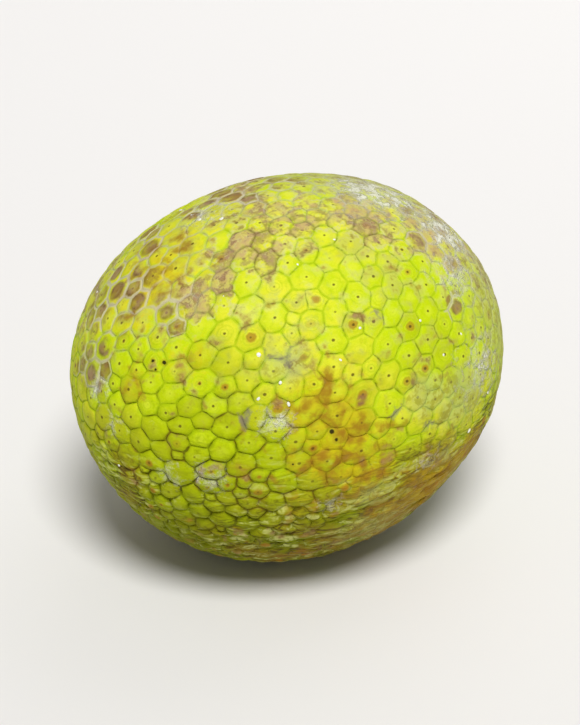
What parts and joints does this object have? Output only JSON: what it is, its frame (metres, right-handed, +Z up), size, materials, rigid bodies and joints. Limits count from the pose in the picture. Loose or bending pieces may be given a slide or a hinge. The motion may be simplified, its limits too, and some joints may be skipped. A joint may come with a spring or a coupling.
{
  "type": "breadfruit",
  "caption": "Whole breadfruit lying on its side: an ovoid fruit paved with raised polygonal areoles, a corky stalk scar at one end and a small flat spot beneath.",
  "frame": {"origin": "on the resting plane, under the middle of the fruit's length and width", "axes": "+Z up from the resting surface, +X along the fruit's long axis towards the stalk scar"},
  "size_m": [0.1776, 0.1498, 0.1486],
  "materials": {
    "skin": null
  },
  "bodies": {
    "root": {"breadfruit": "skin"}
  },
  "joints": []
}
